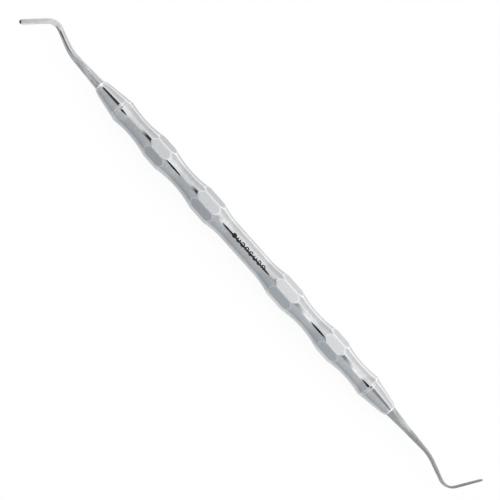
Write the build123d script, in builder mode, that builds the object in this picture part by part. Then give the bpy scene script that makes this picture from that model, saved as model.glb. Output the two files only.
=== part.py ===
from build123d import *
import os

# Double-ended dental hand scaler, in millimetres.
# The handle lies along X, with its middle and its axis at the origin. Z is up: the instrument lies on the flats
# under its grip bulges, and both working ends bend in the XY plane. End A is at -X and end B at +X.

# Barrel: a turned tube, with concave waists between cylindrical lands and a bevelled rim at each end.
waist_radius = 3.1
land_radius = 4.0
grip_half_length = 6.5
inner_land = (13.1, 18.7)
inner_waist_x = 25.9
outer_land = (33.1, 37.6)
outer_waist_x = 44.9
crest_x = 50.6
crest_radius = 3.64
joint_x = 51.5
joint_radius = 3.4
bore_radius = 2.3

# Flats ground round every land.
flat_count = 8
flat_apothem = 3.72

# End cones: a taper with a rounded mouth, a spigot in the barrel and a bore for the tang.
lip_x = 57.9
lip_radius = 2.35
mouth_x = 59.8
mouth_radius = 1.65
spigot_length = 6.0

# End B is a little shorter: everything past its outer bulge sits this much nearer the middle.
end_inset = {-1: 0.0, 1: 0.65}

# Working ends: a tang, a tapered shank with two bends, and a thin flat blade with a rounded end.
tang_radius = 1.1
tang_length = 13.0
shank_base_radius = 1.55
taper_length = 18.0
taper_power = 1.5
neck_half_width = 0.84
neck_half_thickness = 0.52
blade_width = 1.7
blade_thickness = 0.62
blade_side_slope = 18.0
blade_overlap = 0.4
section_count = 16

# Centrelines from the cone's mouth to the blade's end, with the radius of each bend.
route_a = [(-mouth_x, 0), (-71.9, 0), (-81.3, 3.0), (-87.2, -5.1)]
bend_radii_a = [13.0, 3.3]
route_b = [(mouth_x - end_inset[1], 0), (75.4, 0), (85.1, -3.15), (90.7, 6.5)]
bend_radii_b = [14.0, 3.6]


def past_bulge(sign, distance):
    """X of a place beyond an outer bulge, on the side of the given sign."""
    return sign * (distance - end_inset[sign])


def half_outline(sign):
    """Outer line of half the barrel, from the grip cylinder to the face that the cone seats on."""
    inner_start = (sign * inner_land[0], land_radius)
    inner_end = (sign * inner_land[1], land_radius)
    outer_start = (sign * outer_land[0], land_radius)
    outer_end = (sign * outer_land[1], land_radius)
    outer_waist = (past_bulge(sign, outer_waist_x), waist_radius)
    crest = (past_bulge(sign, crest_x), crest_radius)
    joint = past_bulge(sign, joint_x)
    TangentArc((sign * grip_half_length, waist_radius), inner_start, tangent=(sign, 0))
    Line(inner_start, inner_end)
    ThreePointArc(inner_end, (sign * inner_waist_x, waist_radius), outer_start)
    Line(outer_start, outer_end)
    ThreePointArc(outer_end, outer_waist, crest)
    Polyline(crest, (joint, joint_radius), (joint, bore_radius))


with BuildPart() as handle_barrel:
    with BuildSketch(Plane.XY):
        with BuildLine():
            Line((-grip_half_length, waist_radius), (grip_half_length, waist_radius))
            half_outline(1)
            half_outline(-1)
            Line((past_bulge(-1, joint_x), bore_radius), (past_bulge(1, joint_x), bore_radius))
        make_face()
    revolve(axis=Axis.X)
    with BuildSketch(Plane.YZ.offset(-joint_x)):
        RegularPolygon(flat_apothem, flat_count, major_radius=False, rotation=180 / flat_count)
    extrude(amount=2 * joint_x, mode=Mode.INTERSECT)


def make_end_cone(sign):
    """A ferrule turned about X: spigot, shoulder, taper, rounded mouth and a bore for the tang."""
    joint = past_bulge(sign, joint_x)
    spigot_end = past_bulge(sign, joint_x - spigot_length)
    lip = (past_bulge(sign, lip_x), lip_radius)
    mouth = past_bulge(sign, mouth_x)
    with BuildPart() as cone:
        with BuildSketch(Plane.XY):
            with BuildLine():
                Polyline(
                    (mouth, mouth_radius),
                    (mouth, tang_radius),
                    (spigot_end, tang_radius),
                    (spigot_end, bore_radius),
                    (joint, bore_radius),
                    (joint, joint_radius),
                    lip,
                )
                slope = (sign * (lip_x - joint_x), lip_radius - joint_radius)
                TangentArc(lip, (mouth, mouth_radius), tangent=slope)
            make_face()
        revolve(axis=Axis.X)
    return cone.part


def taper(distance, neck):
    """Half-size of the shank at a distance from the cone's mouth: a power curve down to the neck."""
    left = max(0.0, 1 - distance / taper_length)
    return neck + (shank_base_radius - neck) * left**taper_power


def ease(value):
    """Smooth step from 0 to 1."""
    held = min(1.0, max(0.0, value))
    return held * held * (3 - 2 * held)


def make_working_end(route, bend_radii, face_up):
    """One forging. face_up lays the blade's face in the XY plane; otherwise its face stands, towards the handle."""
    outward = 1 if route[0][0] > 0 else -1
    up = Vector(0, 0, 1)
    with BuildLine() as centre:
        FilletPolyline(*route, radius=bend_radii)
    line = centre.wire()
    blade_line = centre.edges().sort_by(Axis.X)[-1 if outward > 0 else 0]
    sharp_bend = centre.edges().filter_by(GeomType.CIRCLE).sort_by(SortBy.RADIUS)[0]
    root_distance = line.length - blade_line.length
    bend_start = root_distance - sharp_bend.length
    blade_root = line.position_at(root_distance, position_mode=PositionMode.LENGTH)
    blade_heading = line.tangent_at(root_distance, position_mode=PositionMode.LENGTH)
    side_normal = up.cross(blade_heading)
    towards_handle = side_normal if outward * side_normal.X < 0 else -side_normal
    face_normal = up if face_up else towards_handle

    with BuildPart() as forging:
        with BuildSketch(Plane(origin=(route[0][0], 0, 0), x_dir=up, z_dir=(-outward, 0, 0))):
            Circle(tang_radius)
        extrude(amount=tang_length)

        # The shank and its bends: ellipses that shrink, then spread to the blade's width and thickness.
        for step in range(section_count + 1):
            distance = root_distance * step / section_count
            share = ease((distance - bend_start) / (root_distance - bend_start))
            half_width = taper(distance, neck_half_width)
            half_width += (blade_width / 2 - half_width) * share
            half_thickness = taper(distance, neck_half_thickness)
            half_thickness += (blade_thickness / 2 - half_thickness) * share
            upright, level = (half_thickness, half_width) if face_up else (half_width, half_thickness)
            place = line.position_at(distance, position_mode=PositionMode.LENGTH)
            heading = line.tangent_at(distance, position_mode=PositionMode.LENGTH)
            with BuildSketch(Plane(origin=place, x_dir=up, z_dir=heading)):
                Ellipse(upright, level)
        loft()

        # The blade: its face is the widest, and its sides slope in to a narrower back. It starts inside the bend.
        face_plane = Plane(origin=blade_root, x_dir=blade_heading, z_dir=-face_normal)
        half = blade_width / 2
        straight = blade_line.length - half
        with BuildSketch(face_plane.offset(-blade_thickness / 2)):
            with BuildLine():
                Polyline((straight, half), (-blade_overlap, half), (-blade_overlap, -half), (straight, -half))
                ThreePointArc((straight, -half), (straight + half, 0), (straight, half))
            make_face()
        extrude(amount=blade_thickness, taper=blade_side_slope)
    return forging.part


pieces = {
    "handle_barrel": handle_barrel.part,
    "end_cone_a": make_end_cone(-1),
    "end_cone_b": make_end_cone(1),
    "working_end_a": make_working_end(route_a, bend_radii_a, face_up=True),
    "working_end_b": make_working_end(route_b, bend_radii_b, face_up=False),
}

os.makedirs("parts", exist_ok=True)
for name, piece in pieces.items():
    piece.label = name
    export_step(piece, f"parts/{name}.step")
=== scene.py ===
from math import cos, pi, radians, sin

import bpy
import numpy as np
from mathutils import Matrix, Vector


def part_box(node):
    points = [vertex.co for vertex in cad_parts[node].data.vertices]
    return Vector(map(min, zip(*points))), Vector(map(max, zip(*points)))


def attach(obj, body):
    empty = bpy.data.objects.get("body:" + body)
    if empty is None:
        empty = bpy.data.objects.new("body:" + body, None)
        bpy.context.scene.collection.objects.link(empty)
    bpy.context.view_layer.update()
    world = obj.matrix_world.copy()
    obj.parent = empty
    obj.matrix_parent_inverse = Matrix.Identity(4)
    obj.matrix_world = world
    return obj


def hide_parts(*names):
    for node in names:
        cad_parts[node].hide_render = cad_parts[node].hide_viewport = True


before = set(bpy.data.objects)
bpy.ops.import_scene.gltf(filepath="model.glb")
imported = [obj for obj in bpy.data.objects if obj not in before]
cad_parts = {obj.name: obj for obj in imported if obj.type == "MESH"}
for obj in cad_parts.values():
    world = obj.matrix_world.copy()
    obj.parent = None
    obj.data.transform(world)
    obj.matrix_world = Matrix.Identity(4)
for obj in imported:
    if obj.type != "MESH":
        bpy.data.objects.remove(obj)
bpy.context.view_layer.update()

# Double-ended dental hand scaler. The handle's axis is the X axis, with its middle at the origin. Z is up,
# end A is at -X and end B at +X.

MM = 0.001
BODY = "root"


# ---------------------------------------------------------------- sizes, in metres

barrel_low, barrel_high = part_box("handle_barrel")
cone_a_low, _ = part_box("end_cone_a")
_, cone_b_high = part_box("end_cone_b")

FLOOR_Z = barrel_low.z
FLAT_APOTHEM = barrel_high.z
FLAT_COUNT = 8
SEAM_X = -barrel_low.x
MOUTH_X = -cone_a_low.x

# Past its outer bulge, end B sits this much nearer the middle than end A.
INSET_B = SEAM_X - barrel_high.x

# Barrel: waists between cylindrical lands, flats ground round the lands, a bevelled rim beyond each crest.
WAIST_RADIUS = 3.1 * MM
LAND_RADIUS = 4.0 * MM
GRIP_HALF_LENGTH = 6.5 * MM
INNER_LAND = (13.1 * MM, 18.7 * MM)
INNER_WAIST_X = 25.9 * MM
OUTER_LAND = (33.1 * MM, 37.6 * MM)
OUTER_WAIST_X = 44.9 * MM
CREST_X = 50.6 * MM
CREST_RADIUS = 3.64 * MM
SEAM_RADIUS = 3.4 * MM
BORE_RADIUS = 2.3 * MM
EDGE_BLEND = 0.1 * MM

# The small bevel that barrel and cones both have where they meet: its length and how fast it drops.
SEAM_BEVEL = 0.2 * MM
SEAM_SLOPE = 0.5

# End cones.
LIP_X = 57.9 * MM
LIP_RADIUS = 2.35 * MM
MOUTH_RADIUS = 1.65 * MM
SPIGOT_LENGTH = 6.0 * MM

# Tangs and shanks.
TANG_RADIUS = 1.1 * MM
TANG_LENGTH = 13.0 * MM
TANG_BEVEL = 0.15 * MM
SHANK_BASE_RADIUS = 1.55 * MM
TAPER_LENGTH = 18.0 * MM
TAPER_POWER = 1.5
NECK_HALF_WIDTH = 0.84 * MM
NECK_HALF_THICKNESS = 0.52 * MM

# Drawing marks run along this much of a shank and then fade. Each set has a number of ridges round the shank,
# and their height as a share of the radius.
DRAWN_LENGTH = 7.5 * MM
DRAWN_FADE = 3.5 * MM
FINE_RIDGES = (14, 0.015)
BROAD_RIDGES = (5, 0.012)

# Blades: they thin towards the tip, the back is narrower than the face, and the tip has a bevel of its own.
BLADE_HALF_WIDTH = 0.85 * MM
BLADE_HALF_THICKNESS = 0.31 * MM
THINNING_LEAD = 3.5 * MM
THINNING_IN_BEND = 0.4
BLADE_THINNING = 0.2
BACK_NARROWING = 0.2
TIP_BEVEL = 0.5
TIP_BEVEL_START = 0.4

# Sections grow a little square past the first bend, and fully so from a little ahead of the sharp one.
BEND_SQUARENESS = 0.1
BEND_SQUARING = 3.0 * MM
BLADE_SQUARE_LEAD = 1.0 * MM
BLADE_SQUARING = 1.6 * MM

# Centrelines from the cone's mouth to the blade's end, with the radius of each bend.
ROUTE_A = np.array([(-MOUTH_X / MM, 0), (-71.9, 0), (-81.3, 3.0), (-87.2, -5.1)]) * MM
BEND_RADII_A = np.array([13.0, 3.3]) * MM
ROUTE_B = np.array([(cone_b_high.x / MM, 0), (75.4, 0), (85.1, -3.15), (90.7, 6.5)]) * MM
BEND_RADII_B = np.array([14.0, 3.6]) * MM

# Columns round a cone, a shank or a blade.
ROUND_COLUMNS = 96


# ---------------------------------------------------------------- meshes from grids

def one_per_vertex(*parts):
    """Values on a grid, spread to one shape and put side by side: one line for each vertex, row by row."""
    return np.stack(np.broadcast_arrays(*parts), -1).reshape(-1, len(parts))


def turned_points(x, radius, angle):
    """Places round the X axis: (x, -radius * sin(angle), radius * cos(angle))."""
    return one_per_vertex(x[:, None], -radius * np.sin(angle), radius * np.cos(angle))


def ring_faces(rows, columns, rows_close):
    """Quads between neighbouring rows and columns of a grid. Its columns close, and its rows may too."""
    row = np.arange(rows if rows_close else rows - 1)[:, None]
    column = np.arange(columns)[None, :]
    next_row = (row + 1) % rows
    next_column = (column + 1) % columns
    return one_per_vertex(
        row * columns + column,
        next_row * columns + column,
        next_row * columns + next_column,
        row * columns + next_column,
    )


def signed_volume(points, faces):
    """Six times a closed mesh's volume, positive when its faces point outwards: the sum of the triple
    products of each triangle's corners."""
    first = points[faces[:, 0]]
    total = 0.0
    for second, third in ((1, 2), (2, 3)):
        across = np.cross(points[faces[:, second]], points[faces[:, third]])
        total += float(np.sum(first * across))
    return total


def mesh_piece(name, points, faces, uv, material):
    """A smooth-shaded object from vertex places, four-cornered faces and a UV place for every vertex."""
    if signed_volume(points, faces) < 0:
        faces = faces[:, ::-1]
    mesh = bpy.data.meshes.new(name)
    mesh.vertices.add(len(points))
    mesh.vertices.foreach_set("co", points.astype(np.float32).ravel())
    mesh.loops.add(faces.size)
    mesh.loops.foreach_set("vertex_index", faces.astype(np.int32).ravel())
    mesh.polygons.add(len(faces))
    mesh.polygons.foreach_set("loop_start", np.arange(0, faces.size, 4, dtype=np.int32))
    mesh.update(calc_edges=True)
    layer = mesh.uv_layers.new(name="along_and_around")
    layer.data.foreach_set("uv", uv[faces.ravel()].astype(np.float32).ravel())
    mesh.validate()
    mesh.shade_smooth()
    mesh.set_sharp_from_angle(angle=radians(40))
    piece = bpy.data.objects.new(name, mesh)
    bpy.context.scene.collection.objects.link(piece)
    mesh.materials.append(material)
    return piece


# ---------------------------------------------------------------- the barrel

def waist(x, low_x, end_x, end_radius):
    """Radius along a concave arc that is level at low_x and reaches the end radius at end_x. The arc is
    waist radius + R - sqrt(R^2 - (x - low_x)^2), with R = (run^2 + rise^2) / (2 * rise)."""
    run = end_x - low_x
    rise = end_radius - WAIST_RADIUS
    radius = (run * run + rise * rise) / (2 * rise)
    inside = np.clip(radius**2 - (x - low_x) ** 2, 0, None)
    return WAIST_RADIUS + radius - np.sqrt(inside)


def turned_radius(place):
    """Radius of the turned barrel at x, before the flats are ground. Lands and the grip are level, and
    waists are arcs. The rim beyond the crest is a straight bevel, which drops faster at the seam."""
    x = np.abs(place)
    inset = np.where(place > 0, INSET_B, 0.0)
    crest = CREST_X - inset
    seam = SEAM_X - inset
    outer_waist = OUTER_WAIST_X - inset

    into_inner = waist(x, GRIP_HALF_LENGTH, INNER_LAND[0], LAND_RADIUS)
    out_of_inner = waist(x, INNER_WAIST_X, INNER_LAND[1], LAND_RADIUS)
    into_outer = waist(x, INNER_WAIST_X, OUTER_LAND[0], LAND_RADIUS)
    out_of_outer = waist(x, outer_waist, OUTER_LAND[1], LAND_RADIUS)
    into_rim = waist(x, outer_waist, crest, CREST_RADIUS)
    bevel = CREST_RADIUS + (x - crest) * (SEAM_RADIUS - CREST_RADIUS) / (seam - crest)
    bevel = bevel - SEAM_SLOPE * np.clip(SEAM_BEVEL - (seam - x), 0, None)
    spans = (
        (x < GRIP_HALF_LENGTH, np.full_like(x, WAIST_RADIUS)),
        (x < INNER_LAND[0], into_inner),
        (x < INNER_LAND[1], np.full_like(x, LAND_RADIUS)),
        (x < INNER_WAIST_X, out_of_inner),
        (x < OUTER_LAND[0], into_outer),
        (x < OUTER_LAND[1], np.full_like(x, LAND_RADIUS)),
        (x < outer_waist, out_of_outer),
        (x < crest, into_rim),
    )
    conditions, radii = zip(*spans)
    return np.select(conditions, radii, bevel)


def soft_min(a, b, blend):
    """The lesser of two values, rounded off where they are near each other: min - h^2 * blend / 4, where
    h = 1 - |a - b| / blend and is at least 0."""
    near = np.clip(blend - np.abs(a - b), 0, None) / blend
    return np.minimum(a, b) - near * near * blend / 4


def half_stations(inset):
    """Places along half the barrel, close together over the lands and at the rim and further apart in the
    waists."""
    fine_inner = (11.0 * MM, 21.0 * MM)
    fine_outer = (31.0 * MM, 40.0 * MM)
    seam = SEAM_X - inset
    rim = CREST_X - inset - 0.3 * MM
    starts = (0.0, *fine_inner, *fine_outer, rim, seam - SEAM_BEVEL)
    counts = (22, 84, 24, 78, 26, 12)
    spans = [
        np.linspace(start, end, count, endpoint=False)
        for start, end, count in zip(starts, starts[1:], counts)
    ]
    return np.concatenate([*spans, np.linspace(seam - SEAM_BEVEL, seam, 5)])


def make_barrel(material):
    """The grip: radius = soft_min(turned radius(x), apothem / cos(angle from the nearest flat's middle)),
    closed by end faces and the straight bore. Round every flat the samples crowd towards its edges, as
    sin(u * pi / 2). Every vertex also knows its distance in mm from the nearest flat's border, which is how
    far the turned radius stands above the flat, over the slope of that difference."""
    per_flat = 16
    known_reach = 1.5 * MM
    least_slope = 0.01
    share = np.arange(per_flat) * 2 / per_flat - 1
    step = 2 * pi / FLAT_COUNT
    local = step / 2 * np.sin(share * pi / 2)
    angle = (np.arange(FLAT_COUNT)[:, None] * step + local[None, :]).ravel()
    from_flat = np.tile(local, FLAT_COUNT)

    x = np.concatenate([-half_stations(0.0)[:0:-1], half_stations(INSET_B)])
    turned = turned_radius(x)
    flat_radius = FLAT_APOTHEM / np.cos(from_flat)
    outer = soft_min(turned[:, None], flat_radius[None, :], EDGE_BLEND)
    over = turned[:, None] - flat_radius[None, :]
    slope_along = np.gradient(turned, x)[:, None]
    slope_around = np.tan(from_flat)[None, :]
    slope = np.sqrt(slope_along**2 + slope_around**2 + least_slope**2)
    from_edge = np.clip(over / slope, -known_reach, known_reach) / MM

    bore_x = np.linspace(SEAM_X - INSET_B, -SEAM_X, 12)
    bore = np.full((bore_x.size, angle.size), BORE_RADIUS)
    all_x = np.concatenate([x, bore_x])
    points = turned_points(all_x, np.vstack([outer, bore]), angle)
    uv = one_per_vertex(all_x[:, None] / SEAM_X / 2 + 0.5, angle / (2 * pi))
    faces = ring_faces(all_x.size, angle.size, rows_close=True)
    piece = mesh_piece("grip_barrel", points, faces, uv, material)

    border = piece.data.attributes.new("from_edge", "FLOAT", "POINT")
    values = np.vstack([from_edge, np.full_like(bore, -known_reach / MM)])
    border.data.foreach_set("value", values.astype(np.float32).ravel())
    return piece


# ---------------------------------------------------------------- the end cones

def cone_outline():
    """Closed outline (x, radius) of an end cone: a small bevel at the seam, a straight taper to the lip, a
    quarter of an ellipse for the mouth, and a straight bore, spigot and shoulder."""
    slope = (LIP_RADIUS - SEAM_RADIUS) / (LIP_X - SEAM_X)
    seam_x = SEAM_X + SEAM_BEVEL * np.linspace(0, 1, 5)
    seam_r = SEAM_RADIUS - SEAM_SLOPE * (SEAM_BEVEL - (seam_x - SEAM_X))
    taper_x = np.linspace(SEAM_X + 1.5 * SEAM_BEVEL, LIP_X, 24)
    taper_r = SEAM_RADIUS + slope * (taper_x - SEAM_X)
    bend = np.linspace(0, pi / 2, 16)[1:]
    drop = LIP_RADIUS - MOUTH_RADIUS + slope * (MOUTH_X - LIP_X)
    mouth_x = LIP_X + (MOUTH_X - LIP_X) * np.sin(bend)
    mouth_r = LIP_RADIUS + slope * (mouth_x - LIP_X) - drop * (1 - np.cos(bend))
    spigot_end = SEAM_X - SPIGOT_LENGTH
    inner_x = (MOUTH_X, SEAM_X, spigot_end, spigot_end, SEAM_X)
    inner_r = (TANG_RADIUS, TANG_RADIUS, TANG_RADIUS, BORE_RADIUS, BORE_RADIUS)
    x = np.concatenate([seam_x, taper_x, mouth_x, inner_x])
    radius = np.concatenate([seam_r, taper_r, mouth_r, inner_r])
    return x, radius


def make_cone(name, side, inset, material):
    """The closed outline, moved in by the inset, turned about the X axis."""
    x, radius = cone_outline()
    x = x - inset
    angle = np.linspace(0, 2 * pi, ROUND_COLUMNS, endpoint=False)
    points = turned_points(side * x, radius[:, None], angle)
    uv = one_per_vertex((x[:, None] - SEAM_X) / (MOUTH_X - SEAM_X), angle / (2 * pi))
    faces = ring_faces(x.size, angle.size, rows_close=True)
    return mesh_piece(name, points, faces, uv, material)


# ---------------------------------------------------------------- the working ends

def bend_knots(route, bend_radii):
    """Distances along a route at which its straight runs and arcs start and end, and the heading at each.
    An arc is radius * turn long and takes radius * tan(turn / 2) off both of its runs."""
    runs = np.diff(route, axis=0)
    headings = np.unwrap(np.arctan2(runs[:, 1], runs[:, 0]))
    turns = np.abs(np.diff(headings))
    trims = bend_radii * np.tan(turns / 2)
    steps = np.zeros(2 * len(runs) - 1)
    steps[0::2] = np.hypot(runs[:, 0], runs[:, 1]) - np.append(trims, 0) - np.insert(trims, 0, 0)
    steps[1::2] = bend_radii * turns
    return np.concatenate([[0], np.cumsum(steps)]), np.repeat(headings, 2)


def bent_line(start, knots, knot_headings, distance):
    """Places and headings at distances along a route. The heading is constant on a run and grows evenly
    along an arc, and places are the running sum of short steps along it."""
    fine = np.linspace(0, knots[-1], 4001)
    heading = np.interp(fine, knots, knot_headings)
    middle = (heading[1:] + heading[:-1]) / 2
    step = np.diff(fine)
    x = start[0] + np.concatenate([[0], np.cumsum(np.cos(middle) * step)])
    y = start[1] + np.concatenate([[0], np.cumsum(np.sin(middle) * step)])
    return np.interp(distance, fine, x), np.interp(distance, fine, y), np.interp(distance, fine, heading)


def ease(value):
    """Smooth step from 0 to 1."""
    held = np.clip(value, 0, 1)
    return held * held * (3 - 2 * held)


def shank_half_size(distance, neck):
    """Half-size of the shank: neck + (base - neck) * (1 - distance / taper length) ^ power."""
    left = np.clip(1 - distance / TAPER_LENGTH, 0, 1)
    return neck + (SHANK_BASE_RADIUS - neck) * left**TAPER_POWER


def shank_stations(root, tip):
    """Distances of the sections from the cone's mouth to the tip, where they crowd as sin(u)."""
    fine_from = 10.0 * MM
    round_from = tip - BLADE_HALF_WIDTH
    return np.concatenate(
        [
            np.linspace(0, fine_from, 60, endpoint=False),
            np.linspace(fine_from, root, 150, endpoint=False),
            np.linspace(root, round_from, 60, endpoint=False),
            round_from + BLADE_HALF_WIDTH * np.sin(np.linspace(0, pi / 2, 15)),
        ]
    )


def section_sizes(shank, bend_start, root, tip):
    """Half-width and half-thickness of the sections. They ease from the shank's to the blade's, the
    thickness ahead of the bend. The blade thins towards its end, which is a half circle in plan, so that its
    half-width is W * s with s = sqrt(1 - u^2). The thickness there loses a bevel and closes as sqrt(3 s)."""
    widening = ease((shank - bend_start) / (root - bend_start))
    half_width = shank_half_size(shank, NECK_HALF_WIDTH)
    half_width = half_width + (BLADE_HALF_WIDTH - half_width) * widening

    thin_from = bend_start - THINNING_LEAD
    thin_to = bend_start + THINNING_IN_BEND * (root - bend_start)
    half_thickness = shank_half_size(shank, NECK_HALF_THICKNESS)
    thinning = ease((shank - thin_from) / (thin_to - thin_from))
    half_thickness = half_thickness + (BLADE_HALF_THICKNESS - half_thickness) * thinning
    half_thickness = half_thickness * (1 - BLADE_THINNING * np.clip((shank - root) / (tip - root), 0, 1))

    past = np.clip((shank - tip) / BLADE_HALF_WIDTH + 1, 0, 1)
    rounding = np.sqrt(np.clip(1 - past**2, 0, 1))
    bevel = 1 - TIP_BEVEL * np.clip(past - TIP_BEVEL_START, 0, 1)
    closing = np.sqrt(np.clip(3 * rounding, 0, 1))
    return half_width * rounding, half_thickness * bevel * closing


def make_working_end(name, route, bend_radii, face_up, material):
    """Tang, shank, bends and blade as one closed surface carried along the centreline. A section is the
    superellipse |w / W|^n + |t / T|^n = 1: n is 2 in the shank and grows to 7 in the blade, whose back is
    drawn in. The straight shank's radius carries slight drawing marks, 1 + a * cos(14 v) + b * cos(5 v + 1).
    Both ends close to a point. With face_up the blade's face looks up, otherwise it looks at the handle."""
    knots, knot_headings = bend_knots(route, bend_radii)
    first_bend, bend_start, root, tip = knots[1], knots[-3], knots[-2], knots[-1]
    outward = np.sign(route[0, 0])

    shank = shank_stations(root, tip)
    half_width, half_thickness = section_sizes(shank, bend_start, root, tip)
    before_mouth = -0.02 * MM
    tang = np.array([-TANG_LENGTH, -TANG_LENGTH, -TANG_LENGTH + TANG_BEVEL, before_mouth, 0.0])
    tang_size = np.array([0.0, TANG_RADIUS - TANG_BEVEL, TANG_RADIUS, TANG_RADIUS, TANG_RADIUS])
    distance = np.concatenate([tang, shank])
    wide = np.concatenate([tang_size, half_width])[:, None]
    thin = np.concatenate([tang_size, half_thickness])[:, None]

    turn = np.linspace(0, 2 * pi, ROUND_COLUMNS, endpoint=False)
    square_from = bend_start - BLADE_SQUARE_LEAD
    squareness = BEND_SQUARENESS * ease((distance - first_bend) / BEND_SQUARING)
    squareness = squareness + (1 - BEND_SQUARENESS) * ease((distance - square_from) / BLADE_SQUARING)
    power = (2 / (2 + 5 * squareness))[:, None]
    across = np.sign(np.cos(turn)) * np.abs(np.cos(turn)) ** power
    through = np.sign(np.sin(turn)) * np.abs(np.sin(turn)) ** power

    drawn = np.where(distance > 0, 1 - ease((distance - DRAWN_LENGTH) / DRAWN_FADE), 0.0)[:, None]
    fine = FINE_RIDGES[1] * np.cos(FINE_RIDGES[0] * turn)
    broad = BROAD_RIDGES[1] * np.cos(BROAD_RIDGES[0] * turn + 1)
    ridges = 1 + drawn * (fine + broad)
    blade_share = ease((distance - bend_start) / (root - bend_start))[:, None]
    drawn_in = 1 - BACK_NARROWING * blade_share * (1 - through) / 2
    across = across * wide * drawn_in * ridges
    through = through * thin * ridges

    x, y, heading = bent_line(route[0], knots, knot_headings, np.clip(distance, 0, None))
    x = x + np.clip(distance, None, 0) * outward
    side = np.stack([-np.sin(heading), np.cos(heading)], -1)
    if face_up:
        level, upright = across, through
    else:
        towards_handle = -np.sign(side[-1, 0]) * outward
        level, upright = through * towards_handle, across
    points = one_per_vertex(x[:, None] + level * side[:, :1], y[:, None] + level * side[:, 1:], upright)
    uv = one_per_vertex((distance[:, None] + TANG_LENGTH) / (tip + TANG_LENGTH), turn / (2 * pi))
    faces = ring_faces(distance.size, turn.size, rows_close=False)
    return mesh_piece(name, points, faces, uv, material)


# ---------------------------------------------------------------- short calls for node trees

class Graph:
    """The node tree of a new material or world."""

    def __init__(self, owner):
        owner.use_nodes = True
        self.owner = owner
        self.tree = owner.node_tree
        self.tree.nodes.clear()

    def add(self, kind, settings=None, **sockets):
        """A node with its settings and sockets. A socket goes by its label, with _ for a space, or by _ and
        its number."""
        node = self.tree.nodes.new(kind)
        for key, value in (settings or {}).items():
            setattr(node, key, value)
        for key, value in sockets.items():
            by_number = key[0] == "_"
            socket = node.inputs[int(key[1:]) if by_number else key.replace("_", " ")]
            if isinstance(value, bpy.types.NodeSocket):
                self.tree.links.new(value, socket)
            else:
                socket.default_value = value
        return node

    def math(self, operation, first, second=0.0, third=0.0):
        node = self.add("ShaderNodeMath", {"operation": operation}, _0=first, _1=second, _2=third)
        return node.outputs[0]

    def times(self, first, second):
        return self.math("MULTIPLY", first, second)

    def minus(self, first, second):
        return self.math("SUBTRACT", first, second)

    def line(self, value, slope, base):
        """base + slope * value."""
        return self.math("MULTIPLY_ADD", value, slope, base)

    def ramp(self, value, low, high, first, last):
        """The value's way from low to high, carried to first and last, and held outside."""
        return self.add("ShaderNodeMapRange", _0=value, _1=low, _2=high, _3=first, _4=last).outputs[0]

    def between(self, value, window):
        """0 outside, 1 inside, with a straight rise and a straight fall."""
        rise, fall = window
        return self.times(self.ramp(value, *rise, 0.0, 1.0), self.ramp(value, *fall, 1.0, 0.0))

    def mix(self, share, first, last):
        """Between two numbers by a share."""
        return self.line(share, self.minus(last, first), first)

    def scaled(self, colour, factor):
        node = self.add("ShaderNodeVectorMath", {"operation": "SCALE"}, _0=colour, Scale=factor)
        return node.outputs[0]

    def place(self):
        """The object's own coordinates, in metres."""
        return self.add("ShaderNodeTexCoord").outputs["Object"]

    def noise(self, place, scale, detail):
        node = self.add("ShaderNodeTexNoise", Vector=place, Scale=scale, Detail=detail, Roughness=0.6)
        return node.outputs["Fac"]

    def lines(self, place, stretch, detail):
        """Noise squeezed along chosen axes, which leaves fine parallel lines."""
        squeezed = self.add("ShaderNodeMapping", Vector=place, Scale=stretch).outputs[0]
        return self.noise(squeezed, 1.0, detail)


# ---------------------------------------------------------------- steel

STEEL_COLOUR = (0.63, 0.64, 0.65)

# Cycles of the finishing lines: per metre along X, Y and Z, or, for the drawn ones, per shank and per turn.
TURNED_LINES = (3600.0, 400.0, 400.0)
BRUSHED_LINES = (2500.0, 5200.0, 2500.0)
RAGGED_LINES = (250.0, 1500.0, 1500.0)
DRAWN_LINES = (9.0, 26.0, 1.0)
CLOUDS = 1500.0

# The noise of the drawn lines: the low and high ends of what is kept of it, and what they become.
DRAWN_RANGE = (0.42, 0.56, -1.0, 0.7)

# Roughness: polished, on the cones, on the flats, in their borders, in the etching and where end B is satin.
POLISHED = 0.08
CONE_POLISH = 0.09
FLAT_ROUGHNESS = 0.12
BORDER_ROUGHNESS = 0.3
ETCHED_ROUGHNESS = 0.5
SATIN_ROUGHNESS = 0.45
BRUSH_SPREAD = 0.1
TURNED_SPREAD = 0.04

# Brightness: the least it is in turned steel and on the flats, and what lines and clouds add to it.
TURNED_SHADE = 0.64
TURNED_LINE_SHADE = 0.35
CLOUD_SHADE = 0.42
FLAT_SHADE = 0.72
BRUSHED_LINE_SHADE = 0.45

# What borders and rims (a painted highlight), the etching and the parts of the working ends (partly painted
# light and shade) multiply it by.
BORDER_PAINTED_HIGHLIGHT = 1.24
RIM_PAINTED_HIGHLIGHT = 1.22
ETCHED_SHADE = 0.07
END_B_PAINTED_SHADE = 0.8
SATIN_SHADE = 0.66
DRAWN_SHADE = 1.02
DRAWN_LINES_AND_REFLECTION_SHADE = 0.3
BLADE_A_PAINTED_LIGHT = 1.07
BLADE_B_PAINTED_SHADE = 0.64

# Distances in mm: half a flat's blurred edge, where its border and the border's painted highlight fade, and
# where the rim's painted highlight fades.
EDGE_BLUR = 0.03
BORDER_FADES = (0.12, 0.28)
RIM_FADES = (0.1, 0.28)

# Along the working ends, in mm: where drawn lines fade, where end B turns satin, and where the blades start.
DRAWN_FADES = (69.0, 72.5)
SATIN_STARTS = (67.5, 69.5)
BLADE_B_STARTS = (84.5, 87.0)
BLADE_A_ENDS = (-79.0, -77.5)

# The etched row, in mm: where it starts, the room for each ring, and the angle of its middle from the top.
MARK_START = -5.6
MARK_CELLS = 8.0
MARK_PITCH = 1.65
MARK_ANGLE = radians(11)
RING_RADIUS = 0.53
RING_LINE = 0.32
DOT_RADIUS = 0.71
MARK_BLUR = 0.03


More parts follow.
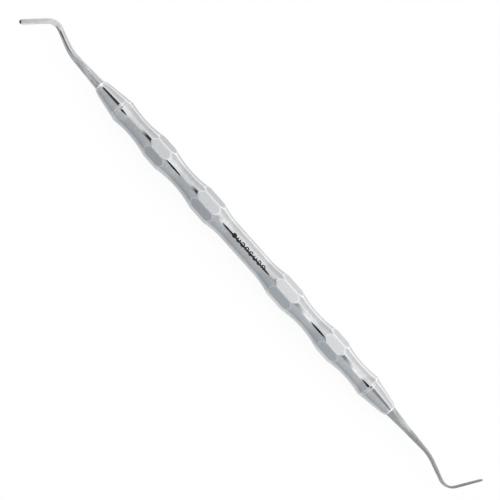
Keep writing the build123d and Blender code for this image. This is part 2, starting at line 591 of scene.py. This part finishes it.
def finish_steel(graph, shade, roughness, height, bump, anisotropy):
    """The metal shader itself, with its finishing lines as fine relief."""
    relief = graph.add("ShaderNodeBump", Strength=bump, Distance=0.02 * MM, Height=height)
    tangent = graph.add("ShaderNodeTangent", {"direction_type": "UV_MAP", "uv_map": "along_and_around"})
    shader = graph.add(
        "ShaderNodeBsdfPrincipled",
        Base_Color=graph.scaled(STEEL_COLOUR, shade),
        Metallic=1.0,
        Roughness=roughness,
        Anisotropic=anisotropy,
        Normal=relief.outputs[0],
        Tangent=tangent.outputs[0],
    )
    graph.add("ShaderNodeOutputMaterial", Surface=shader.outputs[0])


def steel_tones(graph, roughness):
    """Turned lines, with a roughness and a brightness that they and broad soft clouds vary a little."""
    turned = graph.lines(graph.place(), TURNED_LINES, 4.0)
    clouds = graph.noise(graph.place(), CLOUDS, 4.0)
    rough = graph.line(turned, TURNED_SPREAD, roughness - TURNED_SPREAD)
    rough = graph.line(clouds, TURNED_SPREAD, rough)
    shade = graph.line(turned, TURNED_LINE_SHADE, TURNED_SHADE)
    shade = graph.line(clouds, CLOUD_SHADE, shade)
    return turned, rough, shade


def make_cone_steel():
    """Turned and polished steel."""
    graph = Graph(bpy.data.materials.new("turned_cone_steel"))
    turned, rough, shade = steel_tones(graph, CONE_POLISH)
    finish_steel(graph, shade, rough, turned, bump=0.15, anisotropy=0.3)
    return graph.owner


def make_blade_steel():
    """Polished steel with lengthwise drawing lines on the straight shanks, darkened in streaks that are
    partly the marks' own tone and partly painted reflection. It turns satin near the blade of end B. End B
    and blade B carry painted shade, and blade A painted light."""
    graph = Graph(bpy.data.materials.new("polished_blade_steel"))
    turned, rough, shade = steel_tones(graph, POLISHED)
    along = graph.times(graph.add("ShaderNodeSeparateXYZ", Vector=graph.place()).outputs["X"], 1 / MM)

    straight = graph.ramp(graph.math("ABSOLUTE", along), *DRAWN_FADES, 1.0, 0.0)
    around = graph.add("ShaderNodeUVMap", {"uv_map": "along_and_around"}).outputs[0]
    drawn = graph.ramp(graph.lines(around, DRAWN_LINES, 2.0), *DRAWN_RANGE)
    drawn = graph.times(drawn, straight)

    ragged = graph.line(graph.lines(graph.place(), RAGGED_LINES, 2.0), 3.0, along)
    satin = graph.ramp(ragged, *SATIN_STARTS, 0.0, 1.0)
    rough = graph.mix(satin, rough, graph.line(turned, BRUSH_SPREAD, SATIN_ROUGHNESS))
    # Painted shade: past the middle, end B's steel is made darker than end A's.
    painted_shade_by_end = graph.ramp(along, 0.0, 1.0, 1.0, END_B_PAINTED_SHADE)
    shade = graph.times(shade, graph.mix(satin, painted_shade_by_end, SATIN_SHADE))
    # Painted shade on blade B and painted light on blade A: one blade is made darker, the other brighter.
    shade = graph.times(shade, graph.ramp(along, *BLADE_B_STARTS, 1.0, BLADE_B_PAINTED_SHADE))
    shade = graph.times(shade, graph.ramp(along, *BLADE_A_ENDS, BLADE_A_PAINTED_LIGHT, 1.0))
    # The drawing marks darken lengthwise streaks in the colour. These are partly the marks' own tone and
    # partly painted reflection of dark glints on the ridges.
    shade = graph.times(shade, graph.line(drawn, DRAWN_LINES_AND_REFLECTION_SHADE, DRAWN_SHADE))
    finish_steel(graph, shade, rough, graph.line(drawn, 2.0, turned), bump=0.4, anisotropy=0.2)
    return graph.owner


def etched_mark(graph):
    """An etched row on the middle waist: a round dot, then open rings whose gaps face a new way each
    time. A ring is |distance from the cell's middle - ring radius| < line / 2, without a slot from its
    middle outwards."""
    parts = graph.add("ShaderNodeSeparateXYZ", Vector=graph.place())
    angle = graph.math("ARCTAN2", graph.times(parts.outputs["Y"], -1.0), parts.outputs["Z"])
    height = graph.times(graph.minus(angle, MARK_ANGLE), -WAIST_RADIUS / MM)
    along = graph.line(parts.outputs["X"], 1 / MM, -MARK_START)
    cells = graph.math("DIVIDE", along, MARK_PITCH)
    cell = graph.math("FLOOR", cells)
    across = graph.times(graph.minus(graph.minus(cells, cell), 0.5), MARK_PITCH)
    squares = graph.math("ADD", graph.math("POWER", across, 2.0), graph.math("POWER", height, 2.0))
    reach = graph.math("SQRT", squares)

    from_ring = graph.math("ABSOLUTE", graph.minus(reach, RING_RADIUS))
    ring = graph.ramp(from_ring, RING_LINE / 2 - MARK_BLUR, RING_LINE / 2 + MARK_BLUR, 1.0, 0.0)
    gap_way = graph.times(cell, pi / 2)
    gap_cos = graph.math("COSINE", gap_way)
    gap_sin = graph.math("SINE", gap_way)
    outwards = graph.line(across, gap_cos, graph.times(height, gap_sin))
    aside = graph.minus(graph.times(height, gap_cos), graph.times(across, gap_sin))
    ahead = graph.math("GREATER_THAN", outwards, 0.0)
    narrow = graph.math("LESS_THAN", graph.math("ABSOLUTE", aside), RING_LINE * 0.8)
    ring = graph.times(ring, graph.minus(1.0, graph.times(ahead, narrow)))

    dot = graph.ramp(reach, DOT_RADIUS - MARK_BLUR, DOT_RADIUS + MARK_BLUR, 1.0, 0.0)
    shape = graph.mix(graph.math("LESS_THAN", cell, 0.5), ring, dot)
    started = graph.math("GREATER_THAN", cell, -0.5)
    unfinished = graph.math("LESS_THAN", cell, MARK_CELLS - 0.5)
    return graph.times(shape, graph.times(started, unfinished))


def make_barrel_steel():
    """Turned and polished steel with brushed flats, a painted highlight along the flats' borders and at the
    rims, and the etched row.
    """
    graph = Graph(bpy.data.materials.new("satin_barrel_steel"))
    turned, rough, shade = steel_tones(graph, POLISHED)

    from_edge = graph.add("ShaderNodeAttribute", {"attribute_name": "from_edge"}).outputs["Fac"]
    flat = graph.ramp(from_edge, -EDGE_BLUR, EDGE_BLUR, 0.0, 1.0)
    border = graph.ramp(graph.math("ABSOLUTE", from_edge), *BORDER_FADES, 1.0, 0.0)
    brushed = graph.lines(graph.place(), BRUSHED_LINES, 5.0)
    height = graph.mix(flat, turned, brushed)
    rough = graph.mix(flat, rough, graph.line(brushed, BRUSH_SPREAD, FLAT_ROUGHNESS))
    rough = graph.mix(border, rough, BORDER_ROUGHNESS)
    shade = graph.mix(flat, shade, graph.line(brushed, BRUSHED_LINE_SHADE, FLAT_SHADE))
    # Painted highlight: the band along each flat's border is made brighter, standing for light caught by its
    # rounded edge.
    shade = graph.times(shade, graph.line(border, BORDER_PAINTED_HIGHLIGHT - 1, 1.0))

    # Painted highlight: a thin band at each crest and at each seam is made brighter.
    along = graph.add("ShaderNodeSeparateXYZ", Vector=graph.place()).outputs["X"]
    on_side_b = graph.math("GREATER_THAN", along, 0.0)
    along = graph.line(on_side_b, INSET_B, graph.math("ABSOLUTE", along))
    from_crest = graph.math("ABSOLUTE", graph.minus(along, CREST_X))
    from_seam = graph.math("ABSOLUTE", graph.minus(along, SEAM_X))
    from_rim = graph.times(graph.math("MINIMUM", from_crest, from_seam), 1 / MM)
    shade = graph.times(shade, graph.ramp(from_rim, *RIM_FADES, RIM_PAINTED_HIGHLIGHT, 1.0))

    mark = etched_mark(graph)
    shade = graph.times(shade, graph.line(mark, ETCHED_SHADE - 1, 1.0))
    rough = graph.mix(mark, rough, ETCHED_ROUGHNESS)
    finish_steel(graph, shade, rough, height, bump=0.15, anisotropy=0.3)
    return graph.owner


# ---------------------------------------------------------------- the pieces

barrel_steel = make_barrel_steel()
cone_steel = make_cone_steel()
blade_steel = make_blade_steel()

barrel = make_barrel(barrel_steel)
cone_a = make_cone("ferrule_a", -1, 0.0, cone_steel)
cone_b = make_cone("ferrule_b", 1, INSET_B, cone_steel)
end_a = make_working_end("scaler_end_a", ROUTE_A, BEND_RADII_A, True, blade_steel)
end_b = make_working_end("scaler_end_b", ROUTE_B, BEND_RADII_B, False, blade_steel)

for piece, node, slot in (
    (barrel, "handle_barrel", "barrel_steel"),
    (cone_a, "end_cone_a", "cone_steel"),
    (cone_b, "end_cone_b", "cone_steel"),
    (end_a, "working_end_a", "blade_steel"),
    (end_b, "working_end_b", "blade_steel"),
):
    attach(piece, BODY)
    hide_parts(node)


# ---------------------------------------------------------------- floor, light and camera

# The camera looks down, tilted a little, and is rolled so that the handle runs from corner to corner.
TILT = radians(14)
ROLL = radians(41.7324)
VIEW_WIDTH = 136.75 * MM
CAMERA_DISTANCE = 0.255
SENSOR = 36.0
RIGHT_AXIS = Vector((1, 0, 0))
FAR_AXIS = Vector((0, cos(TILT), sin(TILT)))
BACK_AXIS = Vector((0, -sin(TILT), cos(TILT)))
AIM = RIGHT_AXIS * 0.92 * MM + FAR_AXIS * 0.66 * MM
CAMERA_PLACE = AIM + BACK_AXIS * CAMERA_DISTANCE
LENS_RADIUS = 44 * MM
FLOOR_HALF_SIZE = 30.0

# Brightness by the angle about the handle's axis, in degrees from the camera's side; the far side is below 0.
ROUND_THE_HANDLE = (
    (-180, 0.95),
    (-134, 1.0),
    (-118, 0.96),
    (-114, 1.55),
    (-104, 1.55),
    (-99, 1.05),
    (-82, 0.9),
    (-60, 0.93),
    (-48, 1.08),
    (-36, 1.2),
    (-16, 1.1),
    (-4, 1.0),
    (0, 0.6),
    (8, 0.7),
    (24, 0.7),
    (45, 0.65),
    (62, 0.62),
    (80, 0.52),
    (90, 0.58),
    (106, 0.8),
    (129, 0.83),
    (180, 0.95),
)

# Brightness by the lean towards end B, in degrees.
ALONG_THE_HANDLE = (
    (-90, 1.7),
    (-62, 1.7),
    (-50, 1.1),
    (-40, 0.95),
    (-20, 0.86),
    (-3, 0.86),
    (1, 1.0),
    (30, 1.0),
    (42, 1.05),
    (50, 1.15),
    (62, 1.7),
    (90, 1.7),
)

# A bright panel and two dark gaps, as windows of the same two angles: where each rises and where it falls.
PANEL_ROUND = ((-22.0, -14.0), (6.0, 12.0))
PANEL_ALONG = ((-1.0, 2.0), (13.0, 18.0))
PANEL_LIGHT = 1.3
GAP_ROUND = ((-32.0, -26.0), (-5.0, 4.0))
GAP_A_ALONG = ((-44.0, -38.0), (-25.0, -17.0))
GAP_A_DEPTH = 0.95
GAP_B_ALONG = ((15.0, 28.0), (58.0, 66.0))
GAP_B_DEPTH = 0.68
COOL_ROUND = ((0.0, 40.0), (85.0, 140.0))
WARM_TINT = (1.0, 0.995, 1.0)
COOL_TINT = (0.95, 1.0, 1.04)


def stage_sheet(name, corners, graph, shader):
    """One flat face that belongs to the stage, with the shader on it."""
    mesh = bpy.data.meshes.new(name)
    mesh.from_pydata(corners, [], [tuple(range(len(corners)))])
    graph.add("ShaderNodeOutputMaterial", Surface=shader.outputs[0])
    mesh.materials.append(graph.owner)
    sheet = bpy.data.objects.new(name, mesh)
    bpy.context.scene.collection.objects.link(sheet)
    return sheet


def make_floor():
    """A wide pale sheet under the instrument, which glows a little."""
    reach = FLOOR_HALF_SIZE
    corners = [(x * reach, y * reach, FLOOR_Z) for x, y in ((-1, -1), (1, -1), (1, 1), (-1, 1))]
    graph = Graph(bpy.data.materials.new("pale_floor"))
    paper = graph.add("ShaderNodeBsdfDiffuse", Color=(0.12, 0.12, 0.12, 1.0))
    glow = graph.add("ShaderNodeEmission", Color=(1.0, 1.0, 1.0, 1.0), Strength=0.9)
    both = graph.add("ShaderNodeAddShader", _0=paper.outputs[0], _1=glow.outputs[0])
    floor = stage_sheet("floor", corners, graph, both)
    floor.visible_glossy = False
    floor.visible_shadow = False


def make_lens():
    """The round dark front of the lens that looks at the instrument, which the polished steel mirrors."""
    turn = np.linspace(0, 2 * pi, 64, endpoint=False)[:, None]
    across = np.cos(turn) * np.array(RIGHT_AXIS) + np.sin(turn) * np.array(FAR_AXIS)
    rim = np.array(CAMERA_PLACE) + LENS_RADIUS * across
    graph = Graph(bpy.data.materials.new("lens_black"))
    black = graph.add("ShaderNodeBsdfDiffuse", Color=(0.02, 0.02, 0.02, 1.0))
    lens = stage_sheet("lens_front", rim.tolist(), graph, black)
    lens.visible_camera = False
    lens.visible_diffuse = False


def light_ramp(graph, value, stops):
    """Brightness at an angle, straight from stop to stop."""
    low, high = stops[0][0], stops[-1][0]
    ramp = graph.add("ShaderNodeValToRGB", Fac=graph.ramp(value, low, high, 0.0, 1.0))
    elements = ramp.color_ramp.elements
    while len(elements) < len(stops):
        elements.new(0.5)
    for element, (degrees, light) in zip(elements, stops):
        element.position = (degrees - low) / (high - low)
        element.color = (light, light, light, 1.0)
    return ramp.outputs[0]


def make_dome():
    """Soft studio light from all round. Its brightness is a ramp over the angle about the handle's axis,
    times a ramp over the lean towards end B. A panel over the middle is set to a brightness of its own, two
    gaps high over the ends of the handle are darker, and the near side is a little cooler."""
    graph = Graph(bpy.data.worlds.new("studio_dome"))
    bpy.context.scene.world = graph.owner
    way = graph.add("ShaderNodeTexCoord").outputs["Generated"]
    level = graph.add("ShaderNodeMapping", {"vector_type": "POINT"}, Vector=way, Rotation=(-TILT, 0, 0))
    parts = graph.add("ShaderNodeSeparateXYZ", Vector=level.outputs[0])
    about = graph.math("ARCTAN2", graph.times(parts.outputs["Y"], -1.0), parts.outputs["Z"])
    about = graph.math("DEGREES", about)
    lean = graph.math("DEGREES", graph.math("ARCSINE", parts.outputs["X"]))

    light = light_ramp(graph, about, ROUND_THE_HANDLE)
    light = graph.times(light, light_ramp(graph, lean, ALONG_THE_HANDLE))
    panel = graph.times(graph.between(about, PANEL_ROUND), graph.between(lean, PANEL_ALONG))
    light = graph.mix(panel, light, PANEL_LIGHT)
    gap_a = graph.times(graph.between(lean, GAP_A_ALONG), GAP_A_DEPTH)
    gap_b = graph.times(graph.between(lean, GAP_B_ALONG), GAP_B_DEPTH)
    gaps = graph.times(graph.between(about, GAP_ROUND), graph.math("ADD", gap_a, gap_b))
    light = graph.times(light, graph.minus(1.0, gaps))

    cool = graph.between(about, COOL_ROUND)
    tint = graph.add("ShaderNodeMix", {"data_type": "VECTOR"}, _0=cool, _4=WARM_TINT, _5=COOL_TINT)
    shader = graph.add("ShaderNodeBackground", Color=graph.scaled(tint.outputs[1], light), Strength=1.0)
    graph.add("ShaderNodeOutputWorld", Surface=shader.outputs[0])


def make_camera():
    """The camera over the instrument, at its tilt and roll."""
    data = bpy.data.cameras.new("camera")
    data.sensor_width = SENSOR
    data.lens = SENSOR * CAMERA_DISTANCE / VIEW_WIDTH
    data.clip_start = 1 * MM
    camera = bpy.data.objects.new("camera", data)
    right = RIGHT_AXIS * sin(ROLL) + FAR_AXIS * cos(ROLL)
    up = FAR_AXIS * sin(ROLL) - RIGHT_AXIS * cos(ROLL)
    turned = Matrix((right, up, BACK_AXIS)).transposed().to_4x4()
    camera.matrix_world = Matrix.Translation(CAMERA_PLACE) @ turned
    bpy.context.scene.collection.objects.link(camera)
    bpy.context.scene.camera = camera


bpy.context.scene.view_settings.view_transform = "Standard"
make_floor()
make_lens()
make_dome()
make_camera()
